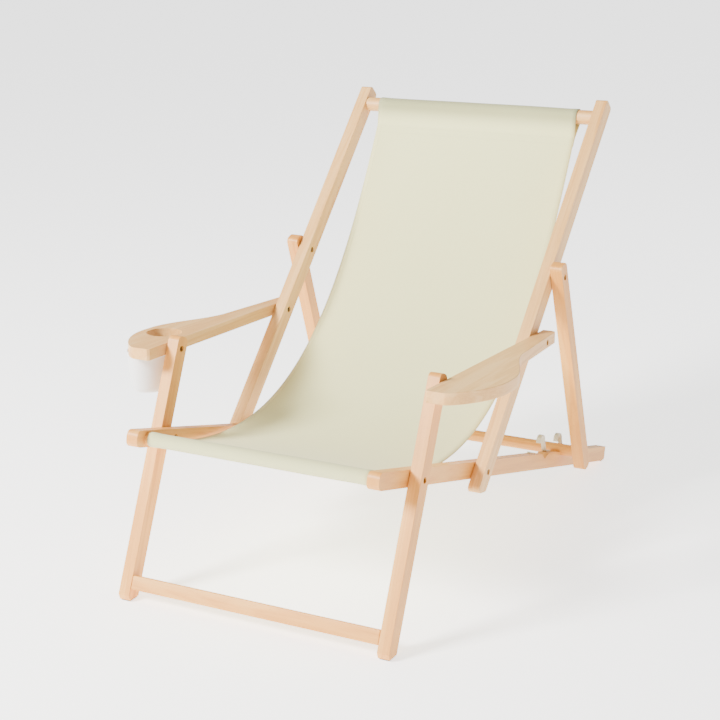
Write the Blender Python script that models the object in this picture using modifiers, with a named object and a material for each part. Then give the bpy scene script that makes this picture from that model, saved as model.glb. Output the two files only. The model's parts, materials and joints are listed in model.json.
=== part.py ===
"""Folding beach chair: a beech frame that folds flat, with armrests, a cup pouch and a fabric sling.

Units are metres and degrees, +Z is up. The chair faces -Y, so its left side is at +X, and the cup pouch
hangs on its right. The origin is at the bottom centre of the chair's box, on the floor.

Across the chair the frame lies in three layers on each side, from the inside out: the seat rail; the front
leg and the back rail; the armrest and the prop leg. Seen from the side, the seat rail, the leg, the back
rail and the armrest are a four-bar linkage that folds into one line, and the prop frame hangs from the
back rails and stands with its round bar in a notch of the seat rails.

Each group of pieces that moves together hangs on an empty at its pivot. The empty's X runs along the
member, its Y across the member towards the upper side, and its Z along the world's X.
"""

import math

import bmesh
import bpy
from mathutils import Matrix, Vector

# Across the chair
FRAME_WIDTH = 0.580           # over the outer faces of the legs and back rails
RAIL_THICKNESS = 0.024        # of the seat rails, legs and back rails
PROP_THICKNESS = 0.025
LAYER_GAP = 0.0015            # between two layers, where the washers sit
TOUCH = 0.0003                # clearance between pieces that touch

# Heights and slopes, seen from the side
LEG_PIVOT_HEIGHT = 0.2895
LEG_ANGLE = 64.8              # from the floor
BACK_ANGLE = 45.5             # from the floor

# Seat rail, measured along it from the leg pivot
SEAT_DEPTH = 0.032
SEAT_FRONT = 0.128
SEAT_REAR = 0.998
SEAT_END_RADIUS = 0.012
BACK_PIVOT_ALONG = 0.2792
FRONT_BAR_ALONG = 0.092       # in front of the leg pivot
REAR_TRIM = 0.002             # how far the rear corner is cut back to stand flat

# Front leg and lower rail
LEG_DEPTH = 0.032
LEG_HEAD = 0.0235             # above the armrest pivot
LEG_HEAD_RADIUS = 0.012
FOOT_CHAMFER = 0.009
CROSS_RAIL_HEIGHT = 0.0330    # of its centre, above the floor
CROSS_RAIL_WIDTH = 0.027      # along the leg
CROSS_RAIL_DEPTH = 0.022      # across the leg
CROSS_TENON_RADIUS = 0.006

# Back rail, measured along it from the seat pivot
BACK_DEPTH = 0.033
BACK_TAIL_UPPER = 0.056       # below the pivot, at the upper side
BACK_TAIL_LOWER = 0.034       # and at the lower side
BACK_LENGTH = 0.858
BACK_END_RADIUS = 0.007
ARM_PIVOT_ALONG = 0.2895
PROP_PIVOT_ALONG = 0.4380
TOP_BAR_ALONG = 0.8205

# Round bars and their tenons
TOP_BAR_RADIUS = 0.0150
FRONT_BAR_RADIUS = 0.0125
PROP_BAR_RADIUS = 0.0125
TENON_RADIUS = 0.009
TENON_LENGTH = 0.016

# Prop frame
PROP_DEPTH = 0.029
PROP_LENGTH = 0.4370          # from its pivot to the bar
PROP_HEAD = 0.029
PROP_TAIL = 0.038
PROP_END_RADIUS = 0.010

# Notches in the seat rails for the prop bar
BAR_SINK = 0.0085             # how deep the bar lies in its notch
NOTCH_CLEARANCE = 0.0010
RAMP_LENGTH = 0.150           # behind the bar, up which it leaves the notch
FRONT_NOTCH_ALONG = 0.351     # from the back pivot
FRONT_NOTCH_WIDTH = 0.036
FRONT_NOTCH_DEPTH = 0.012

# Armrests, seen from above
ARM_THICKNESS = 0.0224
ARM_AHEAD = 0.474             # in front of its rear pivot
ARM_BEHIND = 0.053
ARM_NOSE_WIDTH = 0.036
ARM_PADDLE_WIDTH = 0.103
ARM_WAIST_WIDTH = 0.042
ARM_REAR_WIDTH = 0.029
ARM_NOSE_LENGTH = 0.125       # over which the nose widens
ARM_NARROW_FROM = 0.145       # from the front
ARM_NARROW_LENGTH = 0.200
ARM_END_RADIUS = 0.010
ARM_EDGE = 0.005
CUP_HOLE_RADIUS = 0.035
CUP_HOLE_INSET = 0.055        # from the armrest's inner edge
CUP_HOLE_ALONG = 0.131        # from the armrest's front

# Cup pouch
POUCH_HALF_WIDTH = 0.045
POUCH_HALF_LENGTH = 0.070
POUCH_FORWARD = 0.035         # of the cup hole's centre
POUCH_HEIGHT = 0.082
POUCH_TAPER = 0.86
POUCH_WALL = 0.0025
POUCH_BOTTOM_RADIUS = 0.012

# Sling, between the two bars
SLING_SIDE_GAP = 0.006        # between its edge and the seat rail
SLING_THICKNESS = 0.0024
SLING_SAG = 0.242             # at its middle, square to the line between the bars
SLING_SKEW = 0.134            # how much lower the sag is towards the seat
SLING_SPLIT = 0.30            # where the seat's half ends, as a share of that line
SPLIT_GAP = 0.004
SLEEVE_LENGTH = 0.046         # from the bar's centre to the seam
SLEEVE_CLEARANCE = 0.0005

# Hardware
BOLT_RADIUS = 0.0030
BOLT_CLEARANCE = 0.0004
HEAD_RADIUS = 0.0048
HEAD_THICKNESS = 0.0025
RECESS_RADIUS = 0.0060
RECESS_DEPTH = 0.0060
WASHER_RADIUS = 0.0085
WASHER_THICKNESS = 0.0009
GLIDE_THICKNESS = 0.0020
CLIP_WIDTH = 0.0095
CLIP_THICKNESS = 0.0026
CLIP_REACH = 0.0075           # between the bar in the notch and the stem's top
CLIP_LEAN = 0.014             # of the stem, away from the bar
CLIP_FOOT = 0.024
CLIP_OVER_BAR = 0.006         # how far the stem stands over the bar
CLIP_CURL = 0.012
BUTTON_ALONG = 0.302          # from the back pivot
BUTTON_RADIUS = 0.0045
BUTTON_HEIGHT = 0.0030

# Mesh fineness
EDGE_CHAMFER = 0.0018
ROUND_SEGMENTS = 24
BAR_SEGMENTS = 32
ARC_STEP = 15.0
SLING_STEPS = 14

# Layers, as distances from the chair's middle plane
OUTER_FACE = FRAME_WIDTH / 2
MID_CENTRE = OUTER_FACE - RAIL_THICKNESS / 2
MID_INNER = OUTER_FACE - RAIL_THICKNESS
SEAT_OUTER = MID_INNER - LAYER_GAP
SEAT_CENTRE = SEAT_OUTER - RAIL_THICKNESS / 2
SEAT_INNER = SEAT_OUTER - RAIL_THICKNESS
SLING_WIDTH = 2 * (SEAT_INNER - SLING_SIDE_GAP)
SIDE_INNER = OUTER_FACE + LAYER_GAP
PROP_CENTRE = SIDE_INNER + PROP_THICKNESS / 2
PROP_OUTER = SIDE_INNER + PROP_THICKNESS
SIDES = (("left", 1), ("right", -1))
FLOOR_CUT = GLIDE_THICKNESS + TOUCH

WOOD = (0.78, 0.56, 0.34)
CANVAS = (0.80, 0.79, 0.63)
POUCH_CLOTH = (0.72, 0.72, 0.70)
STEEL = (0.45, 0.45, 0.44)
RUBBER = (0.05, 0.045, 0.04)
CREAM = (0.75, 0.66, 0.50)

# From a member's own axes (along, across, sideways) to the world's
SIDE_VIEW = Matrix(((0, 0, 1, 0), (1, 0, 0, 0), (0, 1, 0, 0), (0, 0, 0, 1)))


def direction(angle):
    """Unit vector (y, z) at an angle in degrees from +Y."""
    return Vector((math.cos(math.radians(angle)), math.sin(math.radians(angle))))


def seat_slope():
    """Fall of the seat rail to the rear that brings its rear corner down to the floor."""
    reach = math.hypot(SEAT_REAR, SEAT_DEPTH / 2)
    corner = math.atan2(SEAT_DEPTH / 2, SEAT_REAR)
    return math.degrees(math.asin((LEG_PIVOT_HEIGHT + REAR_TRIM) / reach) - corner)


SEAT_ANGLE = -seat_slope()


def seat_outline():
    """Outline of the seat rail along and across it, with the leg pivot as origin."""
    half = SEAT_DEPTH / 2
    fall = math.sin(math.radians(SEAT_ANGLE))
    level = math.cos(math.radians(SEAT_ANGLE))
    heel = (FLOOR_CUT - LEG_PIVOT_HEIGHT - SEAT_REAR * fall) / level
    toe = (FLOOR_CUT - LEG_PIVOT_HEIGHT + half * level) / fall
    bar, bar_across = bar_rest()
    groove = PROP_BAR_RADIUS + NOTCH_CLEARANCE
    front = 180 + math.degrees(math.asin((bar_across - half) / groove))
    dip = math.degrees(math.atan2(half - bar_across + groove, RAMP_LENGTH))
    notch = arc(bar, bar_across, groove, 270 + dip, front)
    v_centre = BACK_PIVOT_ALONG + FRONT_NOTCH_ALONG
    v_floor = half - FRONT_NOTCH_DEPTH
    outline = [(-SEAT_FRONT, -half, SEAT_END_RADIUS), (toe, -half, 0), (SEAT_REAR, heel, 0),
               (SEAT_REAR, half, 0), (bar + RAMP_LENGTH, half, 0)]
    outline += [(along, across, 0) for along, across in notch]
    outline += [(v_centre + FRONT_NOTCH_WIDTH / 2, half, 0.003),
                (v_centre, v_floor, 0.008),
                (v_centre - FRONT_NOTCH_WIDTH / 2, half, 0.003),
                (-SEAT_FRONT, half, SEAT_END_RADIUS)]
    return rounded(outline)


def leg_outline():
    """Outline of the front leg along and across it, with its pivot on the seat rail as origin."""
    half = LEG_DEPTH / 2
    rise = math.sin(math.radians(LEG_ANGLE))
    lean = math.cos(math.radians(LEG_ANGLE))
    toe = (FLOOR_CUT - LEG_PIVOT_HEIGHT - half * lean) / rise
    heel = (FLOOR_CUT - LEG_PIVOT_HEIGHT + half * lean) / rise
    top = leg_span() + LEG_HEAD
    back = FOOT_CHAMFER * lean
    return rounded([(heel, -half, 0), (top, -half, LEG_HEAD_RADIUS), (top, half, LEG_HEAD_RADIUS),
                    (toe + FOOT_CHAMFER * 1.4, half, 0),
                    (toe + back, half - FOOT_CHAMFER * rise, 0)])


def leg_span():
    """Distance from the seat pivot to the armrest pivot on the leg that lets the linkage fold into one line."""
    span = BACK_PIVOT_ALONG + ARM_PIVOT_ALONG
    arm = direction(SEAT_ANGLE) * BACK_PIVOT_ALONG + direction(BACK_ANGLE) * ARM_PIVOT_ALONG
    return (span ** 2 - arm.length_squared) / (2 * (span - arm.dot(direction(LEG_ANGLE))))


def bar_rest():
    """Place of the prop bar along and across the seat rail, from the leg pivot, as it lies in its notch."""
    turn = math.radians(BACK_ANGLE - SEAT_ANGLE)
    across = SEAT_DEPTH / 2 + PROP_BAR_RADIUS - BAR_SINK
    drop = PROP_PIVOT_ALONG * math.sin(turn) - across
    along = PROP_PIVOT_ALONG * math.cos(turn) + math.sqrt(PROP_LENGTH ** 2 - drop ** 2)
    return BACK_PIVOT_ALONG + along, across


def arc(along, across, radius, start, end):
    """Points on a circle from one angle to another, both included."""
    steps = max(1, math.ceil(abs(end - start) / ARC_STEP))
    angles = [math.radians(start + (end - start) * i / steps) for i in range(steps + 1)]
    return [(along + radius * math.cos(a), across + radius * math.sin(a)) for a in angles]


def rounded(corners):
    """Closed outline through corners (along, across, radius), each rounded by its radius."""
    outline = []
    for i, (along, across, radius) in enumerate(corners):
        here = Vector((along, across))
        before = (Vector(corners[i - 1][:2]) - here).normalized()
        after = (Vector(corners[(i + 1) % len(corners)][:2]) - here).normalized()
        if radius == 0:
            outline.append((along, across))
            continue
        half_turn = before.angle(after) / 2
        centre = here + (before + after).normalized() * (radius / math.sin(half_turn))
        first = here + before * (radius / math.tan(half_turn)) - centre
        last = here + after * (radius / math.tan(half_turn)) - centre
        start = math.degrees(math.atan2(first.y, first.x))
        sweep = math.degrees(math.atan2(last.y, last.x)) - start
        sweep = (sweep + 180) % 360 - 180
        outline += arc(centre.x, centre.y, radius, start, start + sweep)
    return outline


def world_point(origin, angle, point):
    """Point (y, z) of a member's outline, placed by the member's pivot and angle."""
    along = direction(angle)
    return origin + along * point[0] + Vector((-along.y, along.x)) * point[1]


def leg_pivot():
    """Place (y, z) of the pivot between leg and seat rail, which centres the chair over the origin."""
    pivot = Vector((0, LEG_PIVOT_HEIGHT))
    front = min(world_point(pivot, LEG_ANGLE, p).x for p in leg_outline())
    rear = max(world_point(pivot, SEAT_ANGLE, p).x for p in seat_outline())
    return Vector((-(front + rear) / 2, LEG_PIVOT_HEIGHT))


LEG_PIVOT = leg_pivot()
BACK_PIVOT = LEG_PIVOT + direction(SEAT_ANGLE) * BACK_PIVOT_ALONG
ARM_FRONT_PIVOT = LEG_PIVOT + direction(LEG_ANGLE) * leg_span()
ARM_PIVOT = BACK_PIVOT + direction(BACK_ANGLE) * ARM_PIVOT_ALONG
PROP_PIVOT = BACK_PIVOT + direction(BACK_ANGLE) * PROP_PIVOT_ALONG
PROP_BAR = world_point(LEG_PIVOT, SEAT_ANGLE, bar_rest())
FRONT_BAR = world_point(LEG_PIVOT, SEAT_ANGLE, (-FRONT_BAR_ALONG, 0))
TOP_BAR = BACK_PIVOT + direction(BACK_ANGLE) * TOP_BAR_ALONG
ARM_ANGLE = math.degrees(math.atan2(ARM_PIVOT.y - ARM_FRONT_PIVOT.y, ARM_PIVOT.x - ARM_FRONT_PIVOT.x))
PROP_ANGLE = math.degrees(math.atan2(PROP_BAR.y - PROP_PIVOT.y, PROP_BAR.x - PROP_PIVOT.x))


def make_collection(name):
    """New collection in the scene."""
    collection = bpy.data.collections.new(name)
    bpy.context.scene.collection.children.link(collection)
    return collection


def make_material(name, colour, roughness, metallic=0.0):
    """Principled material of one colour."""
    material = bpy.data.materials.new(name)
    material.use_nodes = True
    shader = material.node_tree.nodes["Principled BSDF"]
    shader.inputs["Base Color"].default_value = (*colour, 1.0)
    shader.inputs["Roughness"].default_value = roughness
    shader.inputs["Metallic"].default_value = metallic
    return material


def make_frame(name, pivot, angle):
    """Empty at a pivot, turned with its member."""
    empty = bpy.data.objects.new(name, None)
    parts.objects.link(empty)
    empty.matrix_world = member_matrix(pivot, angle)
    return empty


def member_matrix(pivot, angle):
    """World matrix of a member's own axes."""
    turn = Matrix.Rotation(math.radians(angle), 4, "X")
    return Matrix.Translation((0, pivot.x, pivot.y)) @ turn @ SIDE_VIEW


def place(name, mesh, frame, offset, colour, upright=False):
    """Object with a mesh, hung on a frame at an offset along, across and sideways."""
    thing = bpy.data.objects.new(name, mesh)
    target = cutters if colour is None else parts
    target.objects.link(thing)
    thing.parent = frame
    turn = SIDE_VIEW.inverted() if upright else Matrix.Identity(4)
    thing.matrix_basis = Matrix.Translation(offset) @ turn
    if colour is None:
        thing.hide_render = True
        thing.display_type = "WIRE"
    else:
        label, tint, roughness, metallic = colour
        mesh.materials.append(make_material(name + "_" + label, tint, roughness, metallic))
    return thing


def flat_mesh(name, outlines, thickness):
    """Mesh of flat outlines given a thickness, with the middle of it at zero."""
    curve = bpy.data.curves.new(name, "CURVE")
    curve.dimensions = "2D"
    curve.fill_mode = "BOTH"
    curve.extrude = thickness / 2
    for outline in outlines:
        spline = curve.splines.new("POLY")
        spline.points.add(len(outline) - 1)
        for point, (along, across) in zip(spline.points, outline):
            point.co = (along, across, 0, 1)
        spline.use_cyclic_u = True
    source = bpy.data.objects.new(name, curve)
    bpy.context.scene.collection.objects.link(source)
    graph = bpy.context.evaluated_depsgraph_get()
    mesh = bpy.data.meshes.new_from_object(source.evaluated_get(graph))
    bpy.data.objects.remove(source)
    bpy.data.curves.remove(curve)
    merge_doubles(mesh)
    return mesh


def merge_doubles(mesh):
    """Weld a mesh's loose seams and turn its faces outwards."""
    cage = bmesh.new()
    cage.from_mesh(mesh)
    bmesh.ops.remove_doubles(cage, verts=cage.verts, dist=0.00002)
    bmesh.ops.recalc_face_normals(cage, faces=cage.faces)
    cage.to_mesh(mesh)
    cage.free()


def bevel(thing, width=EDGE_CHAMFER, segments=2):
    """Round the sharp edges of a piece."""
    modifier = thing.modifiers.new("Edges", "BEVEL")
    modifier.width = width
    modifier.segments = segments
    modifier.limit_method = "ANGLE"
    modifier.angle_limit = math.radians(40)


def cut(thing, cutter, operation="DIFFERENCE"):
    """Cut a piece by a cutter, or join the cutter to it."""
    modifier = thing.modifiers.new(cutter.name, "BOOLEAN")
    modifier.operation = operation
    modifier.object = cutter
    modifier.solver = "EXACT"


def cylinder(name, frame, along, across, radius, span, colour=None, segments=ROUND_SEGMENTS):
    """Cylinder across the chair, from one sideways distance to another."""
    cage = bmesh.new()
    length = abs(span[1] - span[0])
    bmesh.ops.create_cone(cage, cap_ends=True, segments=segments, radius1=radius, radius2=radius,
                          depth=length)
    mesh = bpy.data.meshes.new(name)
    cage.to_mesh(mesh)
    cage.free()
    return place(name, mesh, frame, (along, across, (span[0] + span[1]) / 2), colour)


def drill(thing, frame, along, across, radius, span):
    """Cut a round hole across the chair through a piece."""
    name = "cut_{}_{}".format(thing.name, len(thing.modifiers))
    cut(thing, cylinder(name, frame, along, across, radius, span))


def bolt_hole(thing, frame, along, across, span, recess=None):
    """Cut a bolt's hole through a piece, and a recess for its head from the face at `recess`."""
    drill(thing, frame, along, across, BOLT_RADIUS + BOLT_CLEARANCE, span)
    if recess is not None:
        inwards = -1 if recess > (span[0] + span[1]) / 2 else 1
        ends = (recess - inwards * 0.002, recess + inwards * RECESS_DEPTH)
        drill(thing, frame, along, across, RECESS_RADIUS, ends)


def turned(name, profile, frame, along, across, colour, segments=ROUND_SEGMENTS):
    """Turned solid on an axis across the chair; the profile's points are (sideways, radius)."""
    ring = zip(profile, profile[1:] + profile[:1])
    if sum(a[0] * b[1] - b[0] * a[1] for a, b in ring) < 0:
        profile = profile[::-1]
    cage = bmesh.new()
    points = [cage.verts.new((radius, 0, sideways)) for sideways, radius in profile]
    pairs = list(zip(points, points[1:]))
    if min(radius for _, radius in profile) > 0:
        pairs.append((points[-1], points[0]))
    for pair in pairs:
        cage.edges.new(pair)
    mesh = bpy.data.meshes.new(name)
    cage.to_mesh(mesh)
    cage.free()
    thing = place(name, mesh, frame, (along, across, 0), colour)
    screw = thing.modifiers.new("Turn", "SCREW")
    screw.steps = segments
    screw.render_steps = segments
    screw.use_merge_vertices = True
    screw.merge_threshold = 0.00005
    screw.use_smooth_shade = True
    return thing


def member(name, outline, thickness, frame, sideways, colour):
    """Flat wooden member with rounded edges, at a sideways distance on its frame."""
    thing = place(name, flat_mesh(name, [outline], thickness), frame, (0, 0, sideways), colour)
    bevel(thing)
    return thing


def round_bar(name, frame, along, across, radius, half_length, colour):
    """Round bar between two members, with a turned tenon at each end."""
    end = half_length + TENON_LENGTH
    profile = [(-end, 0), (-end, TENON_RADIUS), (-half_length, TENON_RADIUS), (-half_length, radius),
               (half_length, radius), (half_length, TENON_RADIUS), (end, TENON_RADIUS), (end, 0)]
    return turned(name, profile, frame, along, across, colour, BAR_SEGMENTS)


def tenon_bore(thing, frame, along, across, face, side):
    """Blind bore for a bar's tenon, from the member's face that looks to the chair's middle."""
    span = (side * (face - 0.002), side * (face + TENON_LENGTH + 2 * TOUCH))
    drill(thing, frame, along, across, TENON_RADIUS + TOUCH, span)


def pivot_hardware(name, frame, along, inner, outer, gap):
    """Bolts, nuts and washers of one pivot on both sides of the chair.

    A bolt joins two members, from the face nearest the chair's middle to the outermost face, and its
    washer lies in the gap between them. Head and nut lie in recesses.
    """
    high = outer - RECESS_DEPTH + TOUCH
    low = inner + RECESS_DEPTH - TOUCH
    for side_name, side in SIDES:
        bolt = [(inner + RECESS_DEPTH / 2, 0), (inner + RECESS_DEPTH / 2, BOLT_RADIUS), (high, BOLT_RADIUS),
                (high, HEAD_RADIUS), (high + HEAD_THICKNESS, HEAD_RADIUS), (high + HEAD_THICKNESS, 0)]
        nut = [(low - HEAD_THICKNESS, BOLT_RADIUS + TOUCH), (low, BOLT_RADIUS + TOUCH),
               (low, HEAD_RADIUS), (low - HEAD_THICKNESS, HEAD_RADIUS)]
        turned(name + "_bolt_" + side_name, mirrored(bolt, side), frame, along, 0,
               ("steel", STEEL, 0.35, 1.0))
        turned(name + "_nut_" + side_name, mirrored(nut, side), frame, along, 0,
               ("steel", STEEL, 0.4, 1.0))
    washers(name, frame, along, gap)


def mirrored(profile, side):
    """Profile of a turned piece on one side of the chair."""
    return [(side * sideways, radius) for sideways, radius in profile]


def washers(name, frame, along, gap):
    """Washers between two layers, whose gap starts at a distance from the middle plane."""
    low = gap + (LAYER_GAP - WASHER_THICKNESS) / 2
    high = low + WASHER_THICKNESS
    bore = BOLT_RADIUS + BOLT_CLEARANCE
    for side_name, side in SIDES:
        ring = [(low, bore), (low, WASHER_RADIUS), (high, WASHER_RADIUS), (high, bore)]
        turned(name + "_washer_" + side_name, mirrored(ring, side), frame, along, 0,
               ("steel", STEEL, 0.45, 1.0))


def build_seat_frame(frame):
    """Seat rails, front bar, glides, clips and buttons."""
    for side_name, side in SIDES:
        rail = member("seat_rail_" + side_name, seat_outline(), RAIL_THICKNESS, frame,
                      side * SEAT_CENTRE, ("wood", WOOD, 0.55, 0.0))
        whole = (side * (SEAT_INNER - 0.002), side * (SEAT_OUTER + 0.002))
        bolt_hole(rail, frame, 0, 0, whole, side * SEAT_INNER)
        bolt_hole(rail, frame, BACK_PIVOT_ALONG, 0, whole, side * SEAT_INNER)
        tenon_bore(rail, frame, -FRONT_BAR_ALONG, 0, SEAT_INNER, side)
    round_bar("seat_front_bar", frame, -FRONT_BAR_ALONG, 0, FRONT_BAR_RADIUS, SEAT_INNER - TOUCH,
              ("wood", WOOD, 0.55, 0.0))
    build_rail_glides(frame)
    build_clips(frame)
    build_buttons(frame)


def build_buttons(frame):
    """Small bumpers on the inner edges of the seat rails."""
    for side_name, side in SIDES:
        cage = bmesh.new()
        bmesh.ops.create_cone(cage, cap_ends=True, segments=ROUND_SEGMENTS, radius1=BUTTON_RADIUS,
                              radius2=BUTTON_RADIUS * 0.8, depth=BUTTON_HEIGHT)
        mesh = bpy.data.meshes.new("stop_button_" + side_name)
        cage.to_mesh(mesh)
        cage.free()
        across = SEAT_DEPTH / 2 + TOUCH + BUTTON_HEIGHT / 2
        sideways = side * (SEAT_INNER + BUTTON_RADIUS + EDGE_CHAMFER)
        place("stop_button_" + side_name, mesh, frame,
              (BACK_PIVOT_ALONG + BUTTON_ALONG, across, sideways), ("plastic", CREAM, 0.6, 0.0), upright=True)


def build_rail_glides(frame):
    """Thin plates under the rear corners of the seat rails."""
    fall = math.sin(math.radians(SEAT_ANGLE))
    level = math.cos(math.radians(SEAT_ANGLE))
    toe = (FLOOR_CUT - LEG_PIVOT_HEIGHT + SEAT_DEPTH / 2 * level) / fall
    heel = (FLOOR_CUT - LEG_PIVOT_HEIGHT - SEAT_REAR * fall) / level
    front = world_point(LEG_PIVOT, SEAT_ANGLE, (toe, -SEAT_DEPTH / 2)).x
    rear = world_point(LEG_PIVOT, SEAT_ANGLE, (SEAT_REAR, heel)).x
    build_glides("rail_glide", frame, (front + EDGE_CHAMFER, rear - 0.0005), SEAT_CENTRE)


def build_leg_glides(frame):
    """Thin plates under the feet of the front legs."""
    feet = [world_point(LEG_PIVOT, LEG_ANGLE, point) for point in leg_outline()]
    level = [point.x for point in feet if point.y < FLOOR_CUT + 0.0001]
    build_glides("leg_glide", frame, (min(level) + EDGE_CHAMFER, max(level) - EDGE_CHAMFER), MID_CENTRE)


def build_glides(name, frame, span, sideways):
    """Pair of glides flat on the floor, from one distance along Y to another."""
    width = RAIL_THICKNESS - 2 * EDGE_CHAMFER
    for side_name, side in SIDES:
        cage = bmesh.new()
        bmesh.ops.create_cube(cage, size=1.0)
        bmesh.ops.scale(cage, verts=cage.verts, vec=(width, span[1] - span[0], GLIDE_THICKNESS))
        mesh = bpy.data.meshes.new(name + "_" + side_name)
        cage.to_mesh(mesh)
        cage.free()
        glide = place(name + "_" + side_name, mesh, frame, (0, 0, 0), ("rubber", RUBBER, 0.7, 0.0))
        on_floor = Matrix.Translation((side * sideways, (span[0] + span[1]) / 2, GLIDE_THICKNESS / 2))
        glide.matrix_basis = frame.matrix_world.inverted() @ on_floor


def clip_outline(notch):
    """Outline of a bent strip that stands behind a notch and curls forward over it."""
    base = SEAT_DEPTH / 2 + TOUCH + CLIP_THICKNESS / 2
    top = notch + PROP_BAR_RADIUS + CLIP_REACH
    bend = top + CLIP_LEAN
    rise = 2 * PROP_BAR_RADIUS - BAR_SINK + CLIP_OVER_BAR
    lean = math.degrees(math.atan2(rise, -CLIP_LEAN))
    middle = [(bend + CLIP_FOOT, base), (bend + 0.004, base), (bend - 0.001, base + 0.0025)]
    middle += arc(top - CLIP_CURL, base + rise, CLIP_CURL, lean - 120, 200)
    half = CLIP_THICKNESS / 2
    upper = []
    lower = []
    for i, here in enumerate(middle):
        ahead = Vector(middle[min(i + 1, len(middle) - 1)]) - Vector(middle[max(i - 1, 0)])
        normal = Vector((-ahead.y, ahead.x)).normalized() * half
        upper.append(tuple(Vector(here) + normal))
        lower.append(tuple(Vector(here) - normal))
    return upper + lower[::-1]


def build_clips(frame):
    """Bent strips on the inner edges of the seat rails, one behind each notch."""
    bar, _ = bar_rest()
    notches = (("front", BACK_PIVOT_ALONG + FRONT_NOTCH_ALONG), ("rear", bar))
    for row, notch in notches:
        for side_name, side in SIDES:
            name = "retaining_clip_{}_{}".format(row, side_name)
            sideways = side * (SEAT_INNER + EDGE_CHAMFER + CLIP_WIDTH / 2)
            place(name, flat_mesh(name, [clip_outline(notch)], CLIP_WIDTH), frame, (0, 0, sideways),
                  ("plastic", CREAM, 0.5, 0.0))


def build_leg_frame(frame):
    """Front legs, the rail between their feet, and the glides."""
    rail_along = -(LEG_PIVOT_HEIGHT - CROSS_RAIL_HEIGHT) / math.sin(math.radians(LEG_ANGLE))
    rail_across = (LEG_DEPTH - CROSS_RAIL_DEPTH) / 2
    rail_along += rail_across * math.cos(math.radians(LEG_ANGLE)) * -1
    for side_name, side in SIDES:
        leg = member("front_leg_" + side_name, leg_outline(), RAIL_THICKNESS, frame,
                     side * MID_CENTRE, ("wood", WOOD, 0.55, 0.0))
        whole = (side * (MID_INNER - 0.002), side * (OUTER_FACE + 0.002))
        bolt_hole(leg, frame, 0, 0, whole, side * OUTER_FACE)
        bolt_hole(leg, frame, leg_span(), 0, whole, side * MID_INNER)
        span = (side * (MID_INNER - 0.002), side * (MID_INNER + TENON_LENGTH + 2 * TOUCH))
        drill(leg, frame, rail_along, rail_across, CROSS_TENON_RADIUS + TOUCH, span)
    build_cross_rail(frame, rail_along, rail_across)
    build_leg_glides(frame)


def build_cross_rail(frame, along, across):
    """Flat rail between the legs, with a round tenon at each end."""
    cage = bmesh.new()
    bmesh.ops.create_cube(cage, size=1.0)
    length = 2 * (MID_INNER - TOUCH)
    bmesh.ops.scale(cage, verts=cage.verts, vec=(CROSS_RAIL_WIDTH, CROSS_RAIL_DEPTH, length))
    mesh = bpy.data.meshes.new("leg_cross_rail")
    cage.to_mesh(mesh)
    cage.free()
    rail = place("leg_cross_rail", mesh, frame, (along, across, 0), ("wood", WOOD, 0.55, 0.0))
    bevel(rail, 0.0022)
    end = MID_INNER + TENON_LENGTH
    tenon = cylinder("join_cross_rail", frame, along, across, CROSS_TENON_RADIUS, (-end, end))
    cut(rail, tenon, "UNION")


def build_back_frame(frame):
    """Back rails and the bar between their tops."""
    half = BACK_DEPTH / 2
    outline = rounded([(-BACK_TAIL_LOWER, -half, 0.009), (BACK_LENGTH, -half, BACK_END_RADIUS),
                       (BACK_LENGTH, half, BACK_END_RADIUS), (-BACK_TAIL_UPPER, half, 0.009)])
    for side_name, side in SIDES:
        rail = member("back_rail_" + side_name, outline, RAIL_THICKNESS, frame, side * MID_CENTRE,
                      ("wood", WOOD, 0.55, 0.0))
        whole = (side * (MID_INNER - 0.002), side * (OUTER_FACE + 0.002))
        bolt_hole(rail, frame, 0, 0, whole, side * OUTER_FACE)
        bolt_hole(rail, frame, ARM_PIVOT_ALONG, 0, whole, side * MID_INNER)
        bolt_hole(rail, frame, PROP_PIVOT_ALONG, 0, whole, side * MID_INNER)
        tenon_bore(rail, frame, TOP_BAR_ALONG, 0, MID_INNER, side)
    round_bar("back_top_bar", frame, TOP_BAR_ALONG, 0, TOP_BAR_RADIUS, MID_INNER - TOUCH,
              ("wood", WOOD, 0.55, 0.0))


def arm_outline(side):
    """Outline of an armrest sideways and along it, with its rear pivot and inner edge as origin."""
    outline = [(0, -ARM_AHEAD + 0.004), (0.004, -ARM_AHEAD)]
    steps = 10
    for i in range(1, steps + 1):
        share = 1 - math.cos(math.pi / 2 * i / steps)
        widen = math.sin(math.pi / 2 * share) ** 0.7
        width = ARM_NOSE_WIDTH + (ARM_PADDLE_WIDTH - ARM_NOSE_WIDTH) * widen
        outline.append((width, -ARM_AHEAD + ARM_NOSE_LENGTH * share))
    outline.insert(2, (ARM_NOSE_WIDTH, -ARM_AHEAD))
    for i in range(1, steps + 1):
        share = i / steps
        narrow = (1 - math.cos(math.pi * share)) / 2
        width = ARM_PADDLE_WIDTH - (ARM_PADDLE_WIDTH - ARM_WAIST_WIDTH) * narrow
        outline.append((width, -ARM_AHEAD + ARM_NARROW_FROM + ARM_NARROW_LENGTH * share))
    outline += arc(ARM_REAR_WIDTH - ARM_END_RADIUS, ARM_BEHIND - ARM_END_RADIUS, ARM_END_RADIUS, 0, 90)
    outline.append((0, ARM_BEHIND))
    return [(side * sideways, along) for sideways, along in outline]


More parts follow.
